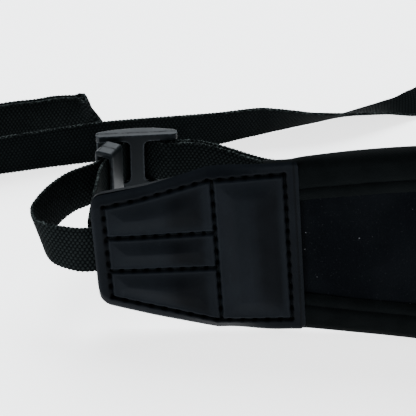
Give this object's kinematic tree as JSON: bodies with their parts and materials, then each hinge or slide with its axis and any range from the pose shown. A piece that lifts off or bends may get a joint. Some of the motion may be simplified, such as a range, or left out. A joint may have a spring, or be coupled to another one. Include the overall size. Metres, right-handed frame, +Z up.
{
  "type": "camera neck strap",
  "caption": "Padded neck strap with stitched end tabs and narrow webbing straps that thread through sliders and keepers and end in loops for a camera's lugs.",
  "frame": {"origin": "middle of the bounding box's underside, on the surface that the strap stands on", "axes": "+X along the near pad edge from the near tab toward the pad, +Y away from the picture's camera, +Z up"},
  "size_m": [0.4146, 0.1798, 0.0652],
  "materials": {
    "neoprene": "fine jersey over foam, matte",
    "binding": "soft woven edge tape, matte",
    "leatherette": "fine grain, low sheen",
    "leatherette_lining": "smooth, matte",
    "webbing": "ribbed weave, matte",
    "moulded_plastic": "satin moulding"
  },
  "bodies": {
    "root": {"pad_core": "neoprene", "pad_binding_upper": "binding", "pad_binding_lower": "binding", "tab_near_face": "leatherette", "tab_near_back": "leatherette_lining", "tab_far_face": "leatherette", "tab_far_back": "leatherette_lining", "webbing_near": "webbing", "webbing_far": "webbing", "slider_near": "moulded_plastic", "keeper_near": "moulded_plastic", "slider_far": "moulded_plastic", "keeper_far": "moulded_plastic"}
  },
  "joints": []
}
